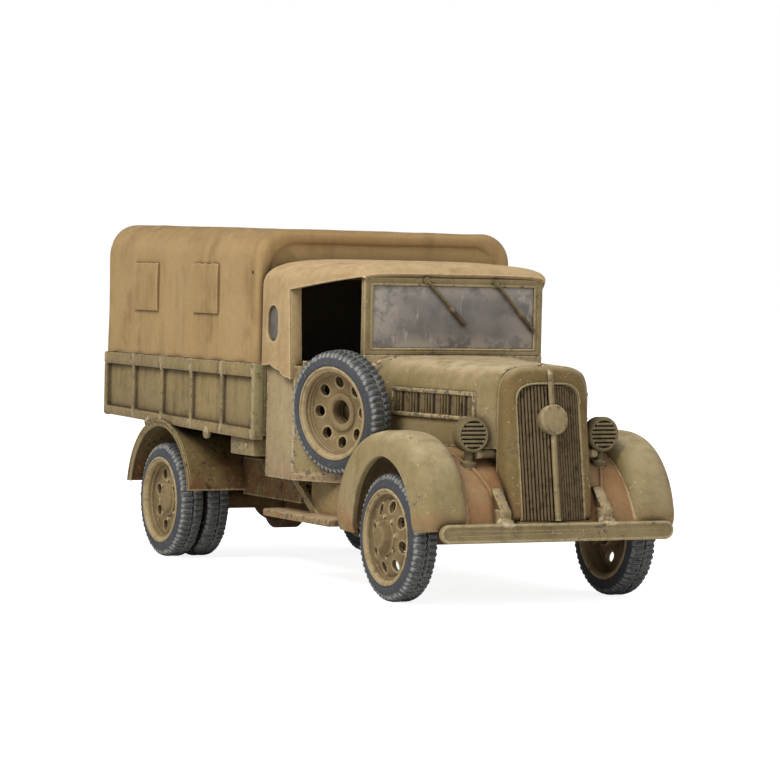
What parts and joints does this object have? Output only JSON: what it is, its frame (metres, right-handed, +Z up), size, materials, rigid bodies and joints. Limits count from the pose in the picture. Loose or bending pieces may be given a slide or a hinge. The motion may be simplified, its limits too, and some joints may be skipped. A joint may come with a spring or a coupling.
{
  "type": "scale model of a military cargo truck",
  "caption": "Small painted model of a 1930s military cargo truck: long bonnet, canvas-roofed cab, side spare wheel and a canvas-covered load bed; the wheels roll.",
  "frame": {"origin": "on the ground under the middle of the truck's length and width, where it stands on its tyres", "axes": "+Z up, the front faces -Y, +X is the truck's left side"},
  "size_m": [0.04, 0.102, 0.047],
  "materials": {
    "body_paint": "painted khaki, matt, chipped and dusty",
    "chassis_paint": "painted dark brown, matt",
    "canvas_paint": "painted tan, matt, moulded as canvas",
    "grille_paint": "painted dark brown, drybrushed",
    "lamp_paint": "painted grey olive, drybrushed",
    "screen_paint": "painted mottled grey as dusty glass",
    "wheel_paint": "painted khaki, brown wash",
    "tyre_paint": "painted dark blue grey, drybrushed",
    "cab_inside_paint": "painted dark brown, matt"
  },
  "bodies": {
    "truck": {"frame_rails": "chassis_paint", "cross_members": "chassis_paint", "front_axle": "chassis_paint", "rear_axle": "chassis_paint", "leaf_springs": "chassis_paint", "prop_shaft": "chassis_paint", "bumper": "body_paint", "radiator_shell": "body_paint", "radiator_grille": "grille_paint", "badge_disc": "body_paint", "bonnet": "body_paint", "bonnet_louvres": "body_paint", "headlamp_left": "lamp_paint", "headlamp_right": "lamp_paint", "front_fender_left": "body_paint", "front_fender_right": "body_paint", "running_board_left": "body_paint", "running_board_right": "body_paint", "rear_fender_left": "body_paint", "rear_fender_right": "body_paint", "cab_shell": "body_paint", "cab_door_left": "body_paint", "cab_door_right": "body_paint", "windscreen_frame": "body_paint", "windscreen_pane": "screen_paint", "wipers": "lamp_paint", "cab_canopy": "canvas_paint", "canopy_windows": "screen_paint", "seat": "cab_inside_paint", "steering_wheel": "cab_inside_paint", "spare_wheel": "wheel_paint", "spare_tyre": "tyre_paint", "bed_floor": "chassis_paint", "bed_bearers": "chassis_paint", "bed_side_left": "body_paint", "bed_side_right": "body_paint", "bed_front_board": "body_paint", "tailgate": "body_paint", "tool_box": "body_paint", "tilt_cover": "canvas_paint", "tilt_front_panel": "canvas_paint", "tilt_hoops": "chassis_paint", "rolled_curtain": "canvas_paint", "tilt_flaps": "canvas_paint"},
    "front_wheel_left_body": {"front_tyre_left": "tyre_paint", "front_wheel_left": "wheel_paint"},
    "front_wheel_right_body": {"front_tyre_right": "tyre_paint", "front_wheel_right": "wheel_paint"},
    "rear_pair_left_body": {"rear_tyres_left": "tyre_paint", "rear_wheels_left": "wheel_paint"},
    "rear_pair_right_body": {"rear_tyres_right": "tyre_paint", "rear_wheels_right": "wheel_paint"}
  },
  "joints": [
    {"name": "front_wheel_left_spin", "type": "hinge", "parent": "truck", "child": "front_wheel_left_body", "pos_m": [0.0156, -0.03795, 0.008], "axis": [1, 0, 0], "continuous": true},
    {"name": "front_wheel_right_spin", "type": "hinge", "parent": "truck", "child": "front_wheel_right_body", "pos_m": [-0.0156, -0.03795, 0.008], "axis": [1, 0, 0], "continuous": true},
    {"name": "rear_pair_left_spin", "type": "hinge", "parent": "truck", "child": "rear_pair_left_body", "pos_m": [0.01575, 0.02735, 0.008], "axis": [1, 0, 0], "continuous": true},
    {"name": "rear_pair_right_spin", "type": "hinge", "parent": "truck", "child": "rear_pair_right_body", "pos_m": [-0.01575, 0.02735, 0.008], "axis": [1, 0, 0], "continuous": true}
  ]
}
